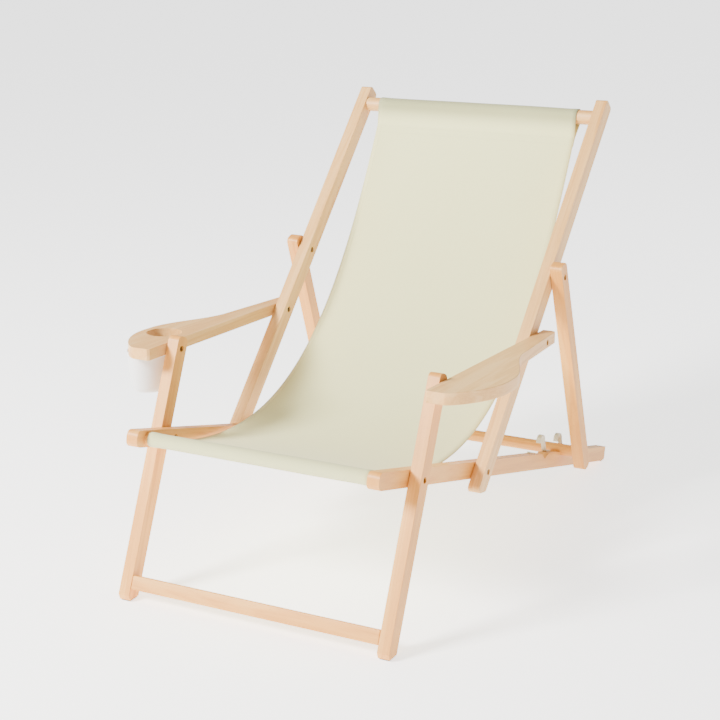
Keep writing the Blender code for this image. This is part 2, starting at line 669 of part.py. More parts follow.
def build_armrests(frame):
    """Armrests, one with a cup hole, and the pouch under it."""
    hole = arc(CUP_HOLE_INSET, CUP_HOLE_ALONG - ARM_AHEAD, CUP_HOLE_RADIUS, 0, 360)[:-1]
    for side_name, side in SIDES:
        name = "armrest_" + side_name
        outlines = [arm_outline(side)]
        if side < 0:
            outlines.append([(side * sideways, along) for sideways, along in hole])
        arm = place(name, flat_mesh(name, outlines, ARM_THICKNESS), frame, (0, 0, side * SIDE_INNER),
                    ("wood", WOOD, 0.5, 0.0), upright=True)
        bevel(arm, ARM_EDGE, 3)
        whole = (side * (SIDE_INNER - 0.002), side * (SIDE_INNER + ARM_WAIST_WIDTH + 0.01))
        bolt_hole(arm, frame, 0, 0, whole)
        face = SIDE_INNER + arm_width_at_pivot() - RECESS_DEPTH
        drill(arm, frame, 0, 0, RECESS_RADIUS, (side * face, side * (face + 0.02)))
    build_pouch(frame)


def arm_width_at_pivot():
    """Width of an armrest beside its rear pivot."""
    straight = ARM_AHEAD - ARM_NARROW_FROM - ARM_NARROW_LENGTH
    run = straight + ARM_BEHIND - ARM_END_RADIUS
    return ARM_WAIST_WIDTH - (ARM_WAIST_WIDTH - ARM_REAR_WIDTH) * straight / run


def build_pouch(frame):
    """Open oval bag under the cup hole."""
    cage = bmesh.new()
    bmesh.ops.create_cone(cage, cap_ends=True, segments=BAR_SEGMENTS, radius1=POUCH_TAPER, radius2=1,
                          depth=POUCH_HEIGHT)
    lid = max(cage.faces, key=lambda face: face.calc_center_median().z)
    bmesh.ops.delete(cage, geom=[lid], context="FACES_ONLY")
    bmesh.ops.scale(cage, verts=cage.verts, vec=(POUCH_HALF_WIDTH, POUCH_HALF_LENGTH, 1))
    mesh = bpy.data.meshes.new("cup_pouch")
    cage.to_mesh(mesh)
    cage.free()
    along = CUP_HOLE_ALONG - ARM_AHEAD - POUCH_FORWARD
    across = -ARM_THICKNESS / 2 - TOUCH - POUCH_HEIGHT / 2
    sideways = SIDE_INNER + CUP_HOLE_INSET
    pouch = place("cup_pouch", mesh, frame, (along, across, -sideways),
                  ("cloth", POUCH_CLOTH, 0.9, 0.0), upright=True)
    bevel(pouch, POUCH_BOTTOM_RADIUS, 3)
    wall = pouch.modifiers.new("Wall", "SOLIDIFY")
    wall.thickness = POUCH_WALL
    wall.offset = -1


def build_prop_frame(frame):
    """Prop legs and the bar that rests in the notches."""
    half = PROP_DEPTH / 2
    end = PROP_LENGTH + PROP_TAIL
    outline = rounded([(-PROP_HEAD, -half, PROP_END_RADIUS), (end, -half, PROP_END_RADIUS),
                       (end, half, PROP_END_RADIUS), (-PROP_HEAD, half, PROP_END_RADIUS)])
    for side_name, side in SIDES:
        leg = member("prop_leg_" + side_name, outline, PROP_THICKNESS, frame, side * PROP_CENTRE,
                     ("wood", WOOD, 0.55, 0.0))
        whole = (side * (SIDE_INNER - 0.002), side * (PROP_OUTER + 0.002))
        bolt_hole(leg, frame, 0, 0, whole, side * PROP_OUTER)
        tenon_bore(leg, frame, PROP_LENGTH, 0, SIDE_INNER, side)
    round_bar("prop_bar", frame, PROP_LENGTH, 0, PROP_BAR_RADIUS, SIDE_INNER - TOUCH,
              ("wood", WOOD, 0.55, 0.0))


def sling_point(share):
    """Point (y, z) on the sling's middle line, at a share of the line from the front bar to the top bar."""
    chord = TOP_BAR - FRONT_BAR
    down = Vector((chord.y, -chord.x)).normalized()
    sag = 4 * share * (1 - share) * (SLING_SAG + SLING_SKEW * (0.5 - share))
    return FRONT_BAR + chord * share + down * sag


def seam_share(bar_centre, low, high):
    """Share at which the sling is one sleeve's length from a bar's centre."""
    for _ in range(40):
        middle = (low + high) / 2
        if (sling_point(middle) - bar_centre).length < SLEEVE_LENGTH:
            low = middle
        else:
            high = middle
    return (low + high) / 2


def sling_outlines(bar_centre, bar_radius, bar_share, split_share):
    """Outline and sleeve opening of one half of the sling, in the chair's side view."""
    seam = seam_share(bar_centre, bar_share, split_share)
    shares = [seam + (split_share - seam) * i / SLING_STEPS for i in range(SLING_STEPS + 1)]
    middle = [sling_point(share) for share in shares]
    upper = []
    lower = []
    for i, here in enumerate(middle):
        ahead = middle[min(i + 1, SLING_STEPS)] - middle[max(i - 1, 0)]
        normal = Vector((-ahead.y, ahead.x)).normalized() * (SLING_THICKNESS / 2)
        upper.append(tuple(here + normal))
        lower.append(tuple(here - normal))
    to_seam = middle[0] - bar_centre
    heading = math.degrees(math.atan2(to_seam.y, to_seam.x))
    inside = bar_radius + SLEEVE_CLEARANCE
    outside = inside + SLING_THICKNESS
    spread = math.degrees(math.acos(outside / SLEEVE_LENGTH))
    loop = arc(bar_centre.x, bar_centre.y, outside, heading - spread, heading - 360 + spread)
    opening_length = SLEEVE_LENGTH * 0.82
    open_spread = math.degrees(math.acos(inside / opening_length))
    opening = arc(bar_centre.x, bar_centre.y, inside, heading + open_spread, heading + 360 - open_spread)
    opening.append(tuple(bar_centre + to_seam.normalized() * opening_length))
    return [upper + lower[::-1] + loop, opening]


def build_sling(name, frame, bar_centre, bar_radius, bar_share, split_share):
    """Half of the sling, with a sleeve around its bar."""
    outlines = sling_outlines(bar_centre, bar_radius, bar_share, split_share)
    sling = place(name, flat_mesh(name, outlines, SLING_WIDTH), frame, (0, 0, 0),
                  ("canvas", CANVAS, 0.9, 0.0))
    sling.matrix_basis = frame.matrix_world.inverted() @ SIDE_VIEW
    return sling


def build_pivots(seat, leg, back):
    """Bolts, nuts and washers of the five pivots on each side."""
    arm_outer = SIDE_INNER + arm_width_at_pivot()
    pivot_hardware("leg_pivot", seat, 0, SEAT_INNER, OUTER_FACE, SEAT_OUTER)
    pivot_hardware("back_pivot", seat, BACK_PIVOT_ALONG, SEAT_INNER, OUTER_FACE, SEAT_OUTER)
    pivot_hardware("arm_pivot", back, ARM_PIVOT_ALONG, MID_INNER, arm_outer, OUTER_FACE)
    pivot_hardware("prop_pivot", back, PROP_PIVOT_ALONG, MID_INNER, PROP_OUTER, OUTER_FACE)
    head = MID_INNER + RECESS_DEPTH - TOUCH
    tip = OUTER_FACE + LAYER_GAP - TOUCH
    pin = [(head - HEAD_THICKNESS, 0), (head - HEAD_THICKNESS, HEAD_RADIUS), (head, HEAD_RADIUS),
           (head, BOLT_RADIUS), (tip, BOLT_RADIUS), (tip, 0)]
    for side_name, side in SIDES:
        turned("arm_front_bolt_" + side_name, mirrored(pin, side), leg, leg_span(), 0,
               ("steel", STEEL, 0.35, 1.0))
    washers("arm_front", leg, leg_span(), OUTER_FACE)


def build_chair():
    """Whole chair."""
    seat = make_frame("seat_frame_axis", LEG_PIVOT, SEAT_ANGLE)
    leg = make_frame("leg_frame_axis", LEG_PIVOT, LEG_ANGLE)
    back = make_frame("back_frame_axis", BACK_PIVOT, BACK_ANGLE)
    arm = make_frame("armrest_axis", ARM_PIVOT, ARM_ANGLE)
    prop = make_frame("prop_frame_axis", PROP_PIVOT, PROP_ANGLE)
    build_seat_frame(seat)
    build_leg_frame(leg)
    build_back_frame(back)
    build_armrests(arm)
    build_prop_frame(prop)
    gap = SPLIT_GAP / (TOP_BAR - FRONT_BAR).length / 2
    build_sling("sling_seat", seat, FRONT_BAR, FRONT_BAR_RADIUS, 0.0, SLING_SPLIT - gap)
    build_sling("sling_back", back, TOP_BAR, TOP_BAR_RADIUS, 1.0, SLING_SPLIT + gap)
    build_pivots(seat, leg, back)
    bpy.context.view_layer.update()


for old in list(bpy.data.objects):
    bpy.data.objects.remove(old)
parts = make_collection("folding_beach_chair")
cutters = make_collection("cutters")
build_chair()
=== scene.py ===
"""Looks of a folding beach chair: oiled beech, off-white canvas, a soft cup pouch and plated hardware.

The chair's wooden members are rebuilt from the frame's own nodes with softer edges and grain that runs
along each member. The canvas is one sheet from the front bar to the top bar, with sewn sleeves.
"""

import json
import logging
import math
from dataclasses import dataclass, field
from enum import Enum
from typing import Dict, List, Optional, Sequence, Tuple, Union

import bmesh
import bpy
from mathutils import Matrix, Vector


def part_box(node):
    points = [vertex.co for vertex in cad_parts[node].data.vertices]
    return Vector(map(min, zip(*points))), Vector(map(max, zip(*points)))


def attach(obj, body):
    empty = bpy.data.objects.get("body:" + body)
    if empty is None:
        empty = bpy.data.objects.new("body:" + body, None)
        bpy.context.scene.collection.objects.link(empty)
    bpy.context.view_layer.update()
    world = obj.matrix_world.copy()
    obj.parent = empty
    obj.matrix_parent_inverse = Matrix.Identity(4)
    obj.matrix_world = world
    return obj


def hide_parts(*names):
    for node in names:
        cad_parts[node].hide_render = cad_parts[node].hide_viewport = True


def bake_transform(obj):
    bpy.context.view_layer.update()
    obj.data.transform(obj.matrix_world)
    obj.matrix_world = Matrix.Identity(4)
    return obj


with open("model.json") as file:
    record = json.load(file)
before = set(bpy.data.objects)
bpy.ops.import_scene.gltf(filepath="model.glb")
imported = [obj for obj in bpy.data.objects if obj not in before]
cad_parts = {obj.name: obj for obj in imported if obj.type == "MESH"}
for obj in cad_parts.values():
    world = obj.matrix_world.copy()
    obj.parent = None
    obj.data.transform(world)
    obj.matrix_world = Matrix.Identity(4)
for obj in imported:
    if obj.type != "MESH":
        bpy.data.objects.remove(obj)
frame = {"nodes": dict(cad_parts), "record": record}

LOG = logging.getLogger("beach_chair")
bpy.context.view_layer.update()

Colour = Tuple[float, float, float]
Point = Tuple[float, float]


class Side(Enum):
    """Side of the chair, by the sign of X."""

    LEFT = 1
    RIGHT = -1

    @property
    def word(self) -> str:
        """Name used in the nodes."""
        return self.name.lower()


# ---------------------------------------------------------------- shader maths


class Value:
    """A shader socket with arithmetic that adds Math nodes."""

    def __init__(self, tree: bpy.types.NodeTree, socket: bpy.types.NodeSocket) -> None:
        """Wrap a socket.

        Args:
            tree: Node tree that holds it.
            socket: Output socket.
        """
        self.tree = tree
        self.socket = socket

    def _math(self, operation: str, first: Union["Value", float], second: Union["Value", float],
              clamp: bool = False) -> "Value":
        """Add a Math node.

        Args:
            operation: Blender's name of the operation.
            first: First operand.
            second: Second operand.
            clamp: Whether the result is kept from 0 to 1.

        Returns:
            The node's result.
        """
        node = self.tree.nodes.new("ShaderNodeMath")
        node.operation = operation
        node.use_clamp = clamp
        for slot, operand in zip(node.inputs, (first, second)):
            if isinstance(operand, Value):
                self.tree.links.new(operand.socket, slot)
            else:
                slot.default_value = operand
        return Value(self.tree, node.outputs[0])

    def __add__(self, other: Union["Value", float]) -> "Value":
        """Sum."""
        return self._math("ADD", self, other)

    def __sub__(self, other: Union["Value", float]) -> "Value":
        """Difference."""
        return self._math("SUBTRACT", self, other)

    def __mul__(self, other: Union["Value", float]) -> "Value":
        """Product."""
        return self._math("MULTIPLY", self, other)

    def __radd__(self, other: float) -> "Value":
        """Sum with a number on the left."""
        return self._math("ADD", other, self)

    def __rsub__(self, other: float) -> "Value":
        """Difference from a number."""
        return self._math("SUBTRACT", other, self)

    def __rmul__(self, other: float) -> "Value":
        """Product with a number on the left."""
        return self._math("MULTIPLY", other, self)

    def clamped(self) -> "Value":
        """Value kept from 0 to 1."""
        return self._math("ADD", self, 0.0, clamp=True)

    def absolute(self) -> "Value":
        """Magnitude of the value."""
        return self._math("ABSOLUTE", self, 0.0)

    def sine(self) -> "Value":
        """Sine of the value in radians."""
        return self._math("SINE", self, 0.0)


class Shader:
    """A material's node tree, with a Principled BSDF to feed."""

    def __init__(self, name: str) -> None:
        """Start a material.

        Args:
            name: Name of the material.
        """
        self.material = bpy.data.materials.new(name)
        self.material.use_nodes = True
        self.tree = self.material.node_tree
        self.principled = self.tree.nodes["Principled BSDF"]

    def node(self, kind: str, settings: Optional[Dict[str, object]] = None,
             sockets: Optional[Dict[object, object]] = None) -> bpy.types.Node:
        """Add a node.

        Args:
            kind: Blender's node type.
            settings: Properties, or "stops" with a ramp's (place, colour) pairs.
            sockets: Values or links of its inputs, by name or number.

        Returns:
            The node.
        """
        node = self.tree.nodes.new(kind)
        for key, value in (settings or {}).items():
            if key == "stops":
                self._set_stops(node.color_ramp, value)
            else:
                setattr(node, key, value)
        for key, value in (sockets or {}).items():
            if isinstance(value, Value):
                self.tree.links.new(value.socket, node.inputs[key])
            else:
                node.inputs[key].default_value = value
        return node

    @staticmethod
    def _set_stops(ramp: bpy.types.ColorRamp, stops: Sequence[Tuple[float, Colour]]) -> None:
        """Give a colour ramp its stops.

        Args:
            ramp: The ramp.
            stops: Place and colour of each stop, in order.
        """
        while len(ramp.elements) < len(stops):
            ramp.elements.new(1.0)
        for element, (place, colour) in zip(ramp.elements, stops):
            element.position = place
            element.color = (*colour, 1.0)

    def out(self, node: bpy.types.Node, socket: object = 0) -> Value:
        """Wrap one of a node's outputs.

        Args:
            node: The node.
            socket: Name or number of the output.

        Returns:
            The wrapped output.
        """
        return Value(self.tree, node.outputs[socket])

    def attribute(self, name: str) -> bpy.types.Node:
        """Attribute node that reads a piece's own attribute."""
        return self.node("ShaderNodeAttribute", {"attribute_name": name})

    def position(self, offset: Sequence[float] = (0, 0, 0), turn: Sequence[float] = (0, 0, 0)) -> Value:
        """Object coordinates, turned and then moved.

        Args:
            offset: Added to the turned point.
            turn: Turn about X, Y and Z in radians.

        Returns:
            The vector.
        """
        place = self.node("ShaderNodeTexCoord")
        mapping = self.node("ShaderNodeMapping", {"vector_type": "POINT"},
                            {"Vector": self.out(place, "Object"), "Location": offset, "Rotation": turn})
        return self.out(mapping, "Vector")

    def scaled(self, vector: Value, scale: Tuple[float, float, float]) -> Value:
        """Stretch a vector."""
        return self.out(self.node("ShaderNodeMapping", {"vector_type": "POINT"},
                                  {"Vector": vector, "Scale": scale}), "Vector")

    def facing(self, angle: float) -> Value:
        """Surface direction on the piece's own axes, turned back about X by an angle."""
        place = self.node("ShaderNodeTexCoord")
        return self.out(self.node("ShaderNodeMapping", {"vector_type": "VECTOR"},
                                  {"Vector": self.out(place, "Normal"), "Rotation": (-angle, 0.0, 0.0)}),
                        "Vector")

    def split(self, vector: Value) -> Tuple[Value, Value, Value]:
        """Parts of a vector along X, Y and Z."""
        node = self.node("ShaderNodeSeparateXYZ", sockets={0: vector})
        return self.out(node, 0), self.out(node, 1), self.out(node, 2)

    def noise(self, vector: Value, scale: float, detail: float = 3.0, roughness: float = 0.5,
              distortion: float = 0.0) -> Value:
        """Noise from 0 to 1.

        Args:
            vector: Where it is read.
            scale: Features per metre of the vector.
            detail: Octaves.
            roughness: Strength of the finer octaves.
            distortion: How much the pattern is warped.

        Returns:
            The noise.
        """
        node = self.node("ShaderNodeTexNoise", {"noise_dimensions": "3D"},
                         {"Vector": vector, "Scale": scale, "Detail": detail, "Roughness": roughness,
                          "Distortion": distortion})
        return self.out(node, "Fac")

    def mix(self, factor: Union[Value, float], first: Union[Value, Colour],
            second: Union[Value, Colour]) -> Value:
        """Mix two colours.

        Args:
            factor: Share of the second colour.
            first: First colour.
            second: Second colour.

        Returns:
            The mixed colour.
        """
        sides = [side if isinstance(side, Value) else (*side, 1.0) for side in (first, second)]
        node = self.node("ShaderNodeMix", {"data_type": "RGBA"},
                         {0: factor, 6: sides[0], 7: sides[1]})
        return self.out(node, 2)

    def ramp(self, factor: Value, stops: Sequence[Tuple[float, Colour]]) -> Value:
        """Colour ramp over a value."""
        return self.out(self.node("ShaderNodeValToRGB", {"stops": stops}, {0: factor}), 0)

    def bump(self, height: Value, strength: float, distance: float) -> Value:
        """Bumped normal.

        Args:
            height: Height from 0 to 1.
            strength: Strength from 0 to 1.
            distance: Height of 1 in metres.

        Returns:
            The normal.
        """
        node = self.node("ShaderNodeBump", sockets={"Strength": strength, "Distance": distance,
                                                    "Height": height})
        return self.out(node, "Normal")

    def feed(self, **sockets: Union[Value, float, Colour]) -> bpy.types.Material:
        """Set the Principled BSDF's sockets, by names with underscores for spaces.

        Args:
            **sockets: Value, link or colour of each socket.

        Returns:
            The finished material.
        """
        for key, value in sockets.items():
            slot = self.principled.inputs[key.replace("_", " ")]
            if isinstance(value, Value):
                self.tree.links.new(value.socket, slot)
            elif isinstance(value, tuple) and len(value) == 3:
                slot.default_value = (*value, 1.0)
            else:
                slot.default_value = value
        return self.material


# ---------------------------------------------------------------- finishes


@dataclass(frozen=True)
class BeechFinish:
    """Light beech with a satin oil."""

    light: Colour = (0.870, 0.535, 0.215)
    middle: Colour = (0.820, 0.455, 0.150)
    dark: Colour = (0.700, 0.340, 0.090)
    fleck: Colour = (0.480, 0.200, 0.045)
    roughness: float = 0.46

    def build(self, name: str, seed: float, pivot: Vector, angle: float,
              crosswise: bool) -> bpy.types.Material:
        """Make the material for one piece, with its grain along the piece.

        Args:
            name: Name of the piece.
            seed: Number that sets the piece's own grain apart.
            pivot: Place (y, z) on the piece's middle line.
            angle: Slope of the piece in radians.
            crosswise: Whether the piece runs along X instead.

        Returns:
            The material.
        """
        sh = Shader("beech_" + name)
        turn = Matrix.Rotation(-angle, 2) @ pivot
        offset = (seed, -turn.x + seed * 0.31, -turn.y + seed * 0.17)
        base = sh.position(offset, (-angle, 0.0, 0.0))
        run, wide = (1.6, 26.0) if not crosswise else (26.0, 1.6)
        bands = sh.noise(sh.scaled(base, (wide, run, 26.0)), 1.0, 4.0, 0.55, 0.6)
        run, wide = (7.0, 420.0) if not crosswise else (420.0, 7.0)
        streaks = sh.noise(sh.scaled(base, (wide, run, 420.0)), 1.0, 3.0, 0.6)
        run, wide = (120.0, 1100.0) if not crosswise else (1100.0, 120.0)
        pores = sh.noise(sh.scaled(base, (wide, run, 1100.0)), 1.0, 1.0)
        waves = (bands * 34.0).sine() * 0.5 + 0.5
        tone = bands * 0.60 + waves * 0.14 + streaks * 0.28
        colour = sh.ramp(tone, ((0.34, self.dark), (0.50, self.middle), (0.68, self.light)))
        fleck = ((pores - 0.62) * 6.0).clamped()
        colour = sh.mix(fleck * 0.40, colour, self.fleck)
        across, along, _ = sh.split(sh.facing(angle))
        ends = (((across if crosswise else along).absolute() - 0.80) * 8.0).clamped()
        colour = sh.mix(ends * 0.35, colour, self.dark)
        relief = streaks * 0.5 - fleck * 0.6
        return sh.feed(Base_Color=colour, Roughness=self.roughness + (streaks - 0.5) * 0.16,
                       Normal=sh.bump(relief, 0.25, 0.0003), Coat_Weight=0.06, Coat_Roughness=0.35)


@dataclass(frozen=True)
class ClothFinish:
    """Plain woven cloth, with its threads along the piece's UV map in metres, and optional painted shade over
    the bars.
    """

    colour: Colour
    shade: Colour
    threads_per_metre: float
    # Colour of painted shade where a bar lies behind the cloth. It stands in for the light the bar keeps from
    # shining through.
    bar_shade_colour: Optional[Colour] = None
    relief: float = 0.00012
    sheen: float = 0.25

    def build(self, name: str) -> bpy.types.Material:
        """Make the cloth.

        Args:
            name: Name of the piece.

        Returns:
            The material.
        """
        sh = Shader(name)
        uv = sh.out(sh.node("ShaderNodeUVMap", {"uv_map": "UVMap"}), 0)
        across, along, _ = sh.split(uv)
        turn = 2 * math.pi * self.threads_per_metre
        warp = (across * turn).sine()
        weft = (along * turn).sine()
        weave = warp * weft * 0.5 + 0.5
        slubs = sh.noise(sh.scaled(uv, (900.0, 60.0, 1.0)), 1.0, 2.0)
        cross = sh.noise(sh.scaled(uv, (60.0, 900.0, 1.0)), 1.0, 2.0)
        cloud = sh.noise(uv, 7.0, 3.0)
        tone = weave * 0.35 + slubs * 0.45 + cross * 0.45 + cloud * 0.25
        colour = sh.ramp(tone, ((0.42, self.shade), (0.78, self.colour)))
        # Painted shade: the cloth is darkened towards this colour by the per-vertex mask of bars behind it.
        if self.bar_shade_colour:
            colour = sh.mix(sh.out(sh.attribute("over_bar"), "Fac"), colour, self.bar_shade_colour)
        height = weave * 0.6 + slubs * 0.3 + cross * 0.3
        return sh.feed(Base_Color=colour, Roughness=0.92, Normal=sh.bump(height, 0.35, self.relief),
                       Sheen_Weight=self.sheen, Sheen_Roughness=0.5)


@dataclass(frozen=True)
class ThreadFinish:
    """Twisted sewing thread."""

    colour: Colour

    def build(self, name: str) -> bpy.types.Material:
        """Make the thread."""
        sh = Shader(name)
        twist = sh.noise(sh.position(), 2600.0, 1.0)
        colour = sh.mix(twist, tuple(c * 0.86 for c in self.colour), self.colour)
        return sh.feed(Base_Color=colour, Roughness=0.75, Normal=sh.bump(twist, 0.3, 0.0001))


@dataclass(frozen=True)
class PlatedFinish:
    """Plated steel with fine wear."""

    colour: Colour = (0.60, 0.59, 0.57)
    roughness: float = 0.30

    def build(self, name: str) -> bpy.types.Material:
        """Make the steel."""
        sh = Shader(name)
        wear = sh.noise(sh.position(), 900.0, 4.0, 0.6)
        colour = sh.mix(wear, tuple(c * 0.80 for c in self.colour), self.colour)
        return sh.feed(Base_Color=colour, Metallic=1.0, Roughness=self.roughness + (wear - 0.5) * 0.2,
                       Normal=sh.bump(wear, 0.15, 0.0001))


@dataclass(frozen=True)
class MouldedFinish:
    """Moulded plastic or rubber with a fine texture."""

    colour: Colour
    roughness: float

    def build(self, name: str) -> bpy.types.Material:
        """Make the plastic."""
        sh = Shader(name)
        speckle = sh.noise(sh.position(), 1400.0, 2.0)
        colour = sh.mix(speckle, tuple(c * 0.92 for c in self.colour), self.colour)
        return sh.feed(Base_Color=colour, Roughness=self.roughness + (speckle - 0.5) * 0.12,
                       Normal=sh.bump(speckle, 0.2, 0.00015))


PALE_BEECH = BeechFinish()
WARM_BEECH = BeechFinish(light=(0.850, 0.425, 0.098), middle=(0.795, 0.350, 0.064),
                         dark=(0.680, 0.265, 0.040), fleck=(0.460, 0.165, 0.026))
# The canvas's darkest colour is painted shade over the front and top bars.
CANVAS = ClothFinish(colour=(0.820, 0.815, 0.420), shade=(0.760, 0.750, 0.360), threads_per_metre=620.0,
                     bar_shade_colour=(0.270, 0.268, 0.130))
HEM_THREAD = ThreadFinish(colour=(0.78, 0.77, 0.42))
POUCH_CLOTH = ClothFinish(colour=(0.84, 0.84, 0.83), shade=(0.74, 0.74, 0.73), threads_per_metre=760.0)
STEEL = PlatedFinish()
# Near-black steel for the bolt heads: the dark colour is painted shade of the recessed holes, while the metal
# and its glint are real.
RECESS_SHADE_STEEL = PlatedFinish(colour=(0.055, 0.052, 0.050), roughness=0.33)
GLIDE = MouldedFinish(colour=(0.035, 0.030, 0.027), roughness=0.7)
CREAM = MouldedFinish(colour=(0.72, 0.66, 0.54), roughness=0.45)


# ---------------------------------------------------------------- shared shaping


def joint_place(name: str) -> Vector:
    """Place (y, z) of a hinge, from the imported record."""
    for joint in frame["record"]["behaviour"]["joints"]:
        if joint["name"] == name:
            return Vector(joint["pos_m"][1:])
    raise KeyError(name)


def link(name: str, cage: bmesh.types.BMesh, body: Optional[str]) -> bpy.types.Object:
    """Turn a bmesh into a piece that rides on a body.

    Args:
        name: Name of the piece.
        cage: Mesh, which is freed.
        body: Body it rides on, or None for one left on no body.

    Returns:
        The piece.
    """
    mesh = bpy.data.meshes.new(name)
    cage.to_mesh(mesh)
    cage.free()
    piece = bpy.data.objects.new(name, mesh)
    bpy.context.scene.collection.objects.link(piece)
    if body:
        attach(piece, body)
    LOG.info("%s: %d faces on %s", name, len(mesh.polygons), body or "two bodies")
    return piece


def dress(piece: bpy.types.Object, material: bpy.types.Material) -> None:
    """Give a piece its only material, and shade it smooth.

    Args:
        piece: The piece.
        material: Its finish.
    """
    piece.data.materials.clear()
    piece.data.materials.append(material)
    for face in piece.data.polygons:
        face.use_smooth = True


def rebuild(node: str, body: str, material: bpy.types.Material,
            sharp: float = 50.0) -> bpy.types.Object:
    """Stand a smooth-shaded piece in for a node.

    Args:
        node: Name of the node.
        body: Body it rides on.
        material: Its finish.
        sharp: Angle in degrees from which an edge stays sharp.

    Returns:
        The piece.
    """
    cage = bmesh.new()
    cage.from_mesh(frame["nodes"][node].data)
    bmesh.ops.remove_doubles(cage, verts=cage.verts, dist=0.00001)
    for edge in cage.edges:
        edge.smooth = edge.calc_face_angle(0.0) < math.radians(sharp)
    piece = link(node + "_finished", cage, body)
    dress(piece, material)
    weighted = piece.modifiers.new("Even shading", "WEIGHTED_NORMAL")
    weighted.keep_sharp = True
    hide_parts(node)
    return piece


def slope(start: Vector, end: Vector) -> float:
    """Angle in radians from +Y of the line between two places (y, z)."""
    return math.atan2(end.y - start.y, end.x - start.x)


def on_arc(centre: Vector, radius: float, start: float, end: float, step: float) -> List[Vector]:
    """Points (y, z) on a circle from one angle to another, in degrees, both included."""
    count = max(2, math.ceil(abs(end - start) / step))
    angles = [math.radians(start + (end - start) * i / count) for i in range(count + 1)]
    return [centre + Vector((math.cos(a), math.sin(a))) * radius for a in angles]


# ---------------------------------------------------------------- wooden frame


@dataclass
class Member:
    """One wooden piece and the direction of its grain."""

    node: str
    body: str
    pivot: Vector = field(default_factory=lambda: Vector((0.0, 0.0)))
    angle: float = 0.0
    crosswise: bool = False
    finish: BeechFinish = WARM_BEECH

    def build(self) -> bpy.types.Object:
        """Rebuild the piece in beech.

        Returns:
            The piece.
        """
        seed = sum(ord(letter) * (i + 3) for i, letter in enumerate(self.node)) % 97 / 9.7
        material = self.finish.build(self.node, seed, self.pivot, self.angle, self.crosswise)
        return rebuild(self.node, self.body, material)


@dataclass
class WoodFrame:
    """All wooden pieces of the chair."""

    seat_pivot: Vector = field(default_factory=lambda: joint_place("leg_fold"))
    back_pivot: Vector = field(default_factory=lambda: joint_place("back_fold"))
    arm_pivot: Vector = field(default_factory=lambda: joint_place("armrest_fold"))
    prop_pivot: Vector = field(default_factory=lambda: joint_place("prop_fold"))
    leg_top: Vector = field(default_factory=lambda: middle_of("arm_front_bolt_left"))
    prop_foot: Vector = field(default_factory=lambda: middle_of("prop_bar"))

    def members(self) -> List[Member]:
        """List the pieces with their grain.

        Returns:
            The members.
        """
        seat = slope(self.seat_pivot, self.back_pivot)
        leg = slope(self.seat_pivot, self.leg_top)
        back = slope(self.back_pivot, self.prop_pivot)
        arm = slope(self.leg_top, self.arm_pivot)
        prop = slope(self.prop_pivot, self.prop_foot)
        pieces = []
        for side in Side:
            pieces += [Member("seat_rail_" + side.word, "seat_frame", self.seat_pivot, seat),
                       Member("front_leg_" + side.word, "leg_frame", self.seat_pivot, leg),
                       Member("back_rail_" + side.word, "back_frame", self.back_pivot, back,
                              finish=PALE_BEECH),
                       Member("armrest_" + side.word, "armrests", self.arm_pivot, arm, finish=PALE_BEECH),
                       Member("prop_leg_" + side.word, "prop_frame", self.prop_pivot, prop)]
        pieces += [Member("seat_front_bar", "seat_frame", crosswise=True),
                   Member("leg_cross_rail", "leg_frame", crosswise=True),
                   Member("back_top_bar", "back_frame", crosswise=True, finish=PALE_BEECH),
                   Member("prop_bar", "prop_frame", crosswise=True)]
        return pieces

    def build(self) -> None:
        """Build every wooden piece."""
        for member in self.members():
            member.build()


def middle_of(node: str) -> Vector:
    """Middle (y, z) of a node's box."""
    low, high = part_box(node)
    return Vector(((low[1] + high[1]) / 2, (low[2] + high[2]) / 2))


# ---------------------------------------------------------------- canvas


@dataclass
class Path:
    """Side view of the canvas, as a line through (y, z) points."""

    points: List[Vector]
    lengths: List[float] = field(default_factory=list)

    def __post_init__(self) -> None:
        """Add up the distance to every point."""
        self.lengths = [0.0]
        for first, second in zip(self.points, self.points[1:]):
            self.lengths.append(self.lengths[-1] + (second - first).length)

    @property
    def total(self) -> float:
        """Whole length in metres."""
        return self.lengths[-1]

    def at(self, distance: float) -> Vector:
        """Point (y, z) at a distance along the line."""
        low, high = 0, len(self.lengths) - 1
        while high - low > 1:
            middle = (low + high) // 2
            if self.lengths[middle] <= distance:
                low = middle
            else:
                high = middle
        share = (distance - self.lengths[low]) / max(self.lengths[high] - self.lengths[low], 1e-9)
        return self.points[low].lerp(self.points[high], min(max(share, 0.0), 1.0))

    def tangent(self, distance: float) -> Vector:
        """Unit direction (y, z) at a distance along the line."""
        return (self.at(min(distance + 0.002, self.total)) - self.at(max(distance - 0.002, 0.0))).normalized()


